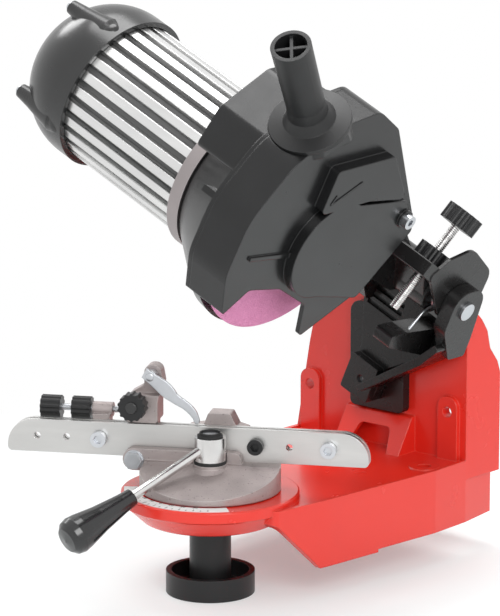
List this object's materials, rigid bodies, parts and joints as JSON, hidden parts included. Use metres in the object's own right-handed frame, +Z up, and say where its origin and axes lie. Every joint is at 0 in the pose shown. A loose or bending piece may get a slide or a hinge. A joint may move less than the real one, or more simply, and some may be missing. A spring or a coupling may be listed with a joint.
{
  "type": "saw chain grinder",
  "caption": "Bench saw-chain grinder: a motor head with guarded pink wheel swings and tilts over a swivelling chain vise on a red cast base.",
  "frame": {"origin": "midway between the two bench bolt holes, on the plane the base stands on", "axes": "+X to the operator's right, +Y towards the back wall, +Z up"},
  "size_m": [0.2717, 0.3104, 0.3712],
  "materials": {
    "base_casting": "satin red paint over cast aluminium",
    "swivel_scale": "printed strip",
    "pivot_pad": "black paint",
    "vise_casting": "bare aluminium",
    "rear_rail": "zinc plated or ground steel",
    "rail_bolts": "zinc plated or ground steel",
    "bar_bolt": "zinc plated or ground steel",
    "swivel_stud": "zinc plated or ground steel",
    "clamp_post": "zinc plated or ground steel",
    "hub_seal_low": "black rubber",
    "stop_bracket": "bare aluminium",
    "swivel_lock_knob": "black moulded plastic",
    "front_rail": "zinc plated or ground steel",
    "clamp_hub": "bare aluminium",
    "hub_seal_top": "black rubber",
    "lever_rod": "zinc plated or ground steel",
    "lever_grip": "black moulded plastic",
    "stop_screw": "zinc plated or ground steel",
    "stop_screw_knob": "black moulded plastic",
    "stop_lock_knob": "black moulded plastic",
    "stop_carrier": "bare aluminium",
    "pawl_pin": "zinc plated or ground steel",
    "stop_clamp_knob": "black moulded plastic",
    "stop_pawl": "zinc plated or ground steel",
    "tilt_bracket": "black paint",
    "tilt_bolt": "zinc plated or ground steel",
    "hinge_pin": "zinc plated or ground steel",
    "return_spring": "zinc plated or ground steel",
    "tilt_lock_knob": "black moulded plastic",
    "head_arm": "black paint",
    "rear_guard": "black moulded plastic",
    "wheel_guard": "black moulded plastic",
    "guard_screw": "zinc plated or ground steel",
    "handle": "black moulded plastic",
    "handle_stud": "zinc plated or ground steel",
    "motor_end_bell": "bare aluminium",
    "motor_body": "bare aluminium",
    "motor_rear_plate": "bare aluminium",
    "motor_cap": "black moulded plastic",
    "cap_screws": "zinc plated or ground steel",
    "cable_gland": "black moulded plastic",
    "switch_case": "black moulded plastic",
    "capacitor": "black moulded plastic",
    "capacitor_clip": "black moulded plastic",
    "stator_core": "zinc plated or ground steel",
    "stator_windings": "enamelled copper",
    "front_bearing": "zinc plated or ground steel",
    "rear_bearing": "zinc plated or ground steel",
    "motor_shaft": "zinc plated or ground steel",
    "rotor_core": "zinc plated or ground steel",
    "inner_flange": "zinc plated or ground steel",
    "outer_flange": "zinc plated or ground steel",
    "arbor_nut": "zinc plated or ground steel",
    "grinding_wheel": "pink bonded abrasive",
    "depth_screw": "zinc plated or ground steel",
    "depth_knob": "black moulded plastic",
    "depth_lock_knob": "black moulded plastic",
    "switch_rocker": "black moulded plastic"
  },
  "bodies": {
    "base": {"base_casting": "base_casting", "swivel_scale": "swivel_scale", "pivot_pad": "pivot_pad"},
    "vise": {"vise_casting": "vise_casting", "rear_rail": "rear_rail", "rail_bolts": "rail_bolts", "bar_bolt": "bar_bolt", "swivel_stud": "swivel_stud", "clamp_post": "clamp_post", "hub_seal_low": "hub_seal_low", "stop_bracket": "stop_bracket"},
    "swivel_lock": {"swivel_lock_knob": "swivel_lock_knob"},
    "moving_rail": {"front_rail": "front_rail"},
    "clamp_lever": {"clamp_hub": "clamp_hub", "hub_seal_top": "hub_seal_top", "lever_rod": "lever_rod", "lever_grip": "lever_grip"},
    "stop_screw": {"stop_screw": "stop_screw", "stop_screw_knob": "stop_screw_knob"},
    "stop_lock": {"stop_lock_knob": "stop_lock_knob"},
    "stop_carrier": {"stop_carrier": "stop_carrier", "pawl_pin": "pawl_pin"},
    "stop_clamp": {"stop_clamp_knob": "stop_clamp_knob"},
    "pawl": {"stop_pawl": "stop_pawl"},
    "tilt": {"tilt_bracket": "tilt_bracket", "tilt_bolt": "tilt_bolt", "hinge_pin": "hinge_pin", "return_spring": "return_spring"},
    "tilt_lock": {"tilt_lock_knob": "tilt_lock_knob"},
    "head": {"head_arm": "head_arm", "rear_guard": "rear_guard", "wheel_guard": "wheel_guard", "guard_screw": "guard_screw", "handle": "handle", "handle_stud": "handle_stud", "motor_end_bell": "motor_end_bell", "motor_body": "motor_body", "motor_rear_plate": "motor_rear_plate", "motor_cap": "motor_cap", "cap_screws": "cap_screws", "cable_gland": "cable_gland", "switch_case": "switch_case", "capacitor": "capacitor", "capacitor_clip": "capacitor_clip", "stator_core": "stator_core", "stator_windings": "stator_windings", "front_bearing": "front_bearing", "rear_bearing": "rear_bearing"},
    "spindle": {"motor_shaft": "motor_shaft", "rotor_core": "rotor_core", "inner_flange": "inner_flange", "outer_flange": "outer_flange", "arbor_nut": "arbor_nut", "grinding_wheel": "grinding_wheel"},
    "depth_screw": {"depth_screw": "depth_screw", "depth_knob": "depth_knob"},
    "depth_lock": {"depth_lock_knob": "depth_lock_knob"},
    "rocker": {"switch_rocker": "switch_rocker"}
  },
  "joints": [
    {"name": "vise_swivel", "type": "hinge", "parent": "base", "child": "vise", "pos_m": [0, -0.141, 0.05], "axis": [0, 0, 1], "range_deg": [-65, 5]},
    {"name": "swivel_lock_turn", "type": "hinge", "parent": "vise", "child": "swivel_lock", "pos_m": [0, -0.141, 0], "axis": [0, 0, 1], "range_deg": [-360, 360]},
    {"name": "clamp_turn", "type": "hinge", "parent": "vise", "child": "clamp_lever", "pos_m": [0, -0.141, 0.07], "axis": [0, 0, 1], "range_deg": [0, 45]},
    {"name": "rail_close", "type": "slide", "parent": "vise", "child": "moving_rail", "axis": [-0.5, 0.866, 0], "range_m": [0, 0.0008]},
    {"name": "stop_screw_turn", "type": "hinge", "parent": "vise", "child": "stop_screw", "pos_m": [-0.08178, -0.15935, 0.088], "axis": [0.866, 0.5, 0], "range_deg": [-1350, 1350]},
    {"name": "stop_slide", "type": "slide", "parent": "vise", "child": "stop_carrier", "axis": [0.866, 0.5, 0], "range_m": [-0.003, 0.003]},
    {"name": "stop_lock_turn", "type": "hinge", "parent": "vise", "child": "stop_lock", "pos_m": [-0.08784, -0.16285, 0.088], "axis": [0.866, 0.5, 0], "range_deg": [-360, 360]},
    {"name": "stop_clamp_turn", "type": "hinge", "parent": "stop_carrier", "child": "stop_clamp", "pos_m": [-0.04782, -0.15937, 0.095], "axis": [-0.5, 0.866, 0], "range_deg": [-360, 360]},
    {"name": "pawl_lift", "type": "hinge", "parent": "stop_carrier", "child": "pawl", "pos_m": [-0.04251, -0.14938, 0.1127], "axis": [-0.5, 0.866, 0], "range_deg": [-100, 0]},
    {"name": "head_tilt", "type": "hinge", "parent": "base", "child": "tilt", "pos_m": [0, 0, 0.0895], "axis": [0, 1, 0], "range_deg": [-24, 6]},
    {"name": "tilt_lock_turn", "type": "hinge", "parent": "tilt", "child": "tilt_lock", "pos_m": [0, 0.045, 0.0895], "axis": [0, 1, 0], "range_deg": [-180, 180]},
    {"name": "head_pivot", "type": "hinge", "parent": "tilt", "child": "head", "pos_m": [0.03661, 0.001, 0.17172], "axis": [0.9135, 0, -0.4067], "range_deg": [0, 28], "stiffness_Nm_per_rad": 15, "springref_deg": -24.98},
    {"name": "wheel_spin", "type": "hinge", "parent": "head", "child": "spindle", "pos_m": [0.05816, -0.1283, 0.22014], "axis": [0.9135, 0, -0.4067], "continuous": true},
    {"name": "depth_turn", "type": "hinge", "parent": "head", "child": "depth_screw", "pos_m": [0.06117, -0.0368, 0.15312], "axis": [0.3449, 0.5299, 0.7747], "range_deg": [-720, 720]},
    {"name": "depth_lock_turn", "type": "hinge", "parent": "head", "child": "depth_lock", "pos_m": [0.06117, -0.0368, 0.15312], "axis": [0.3449, 0.5299, 0.7747], "range_deg": [-360, 360]},
    {"name": "switch_rock", "type": "hinge", "parent": "head", "child": "rocker", "pos_m": [-0.13185, -0.1283, 0.30474], "axis": [0.4067, 0, 0.9135], "range_deg": [0, 14]}
  ],
  "couplings": [
    {"joint": "rail_close", "follows": "clamp_turn", "m_per_rad": 0.0010186},
    {"joint": "stop_screw_turn", "follows": "stop_slide", "rad_per_m": 7854}
  ]
}
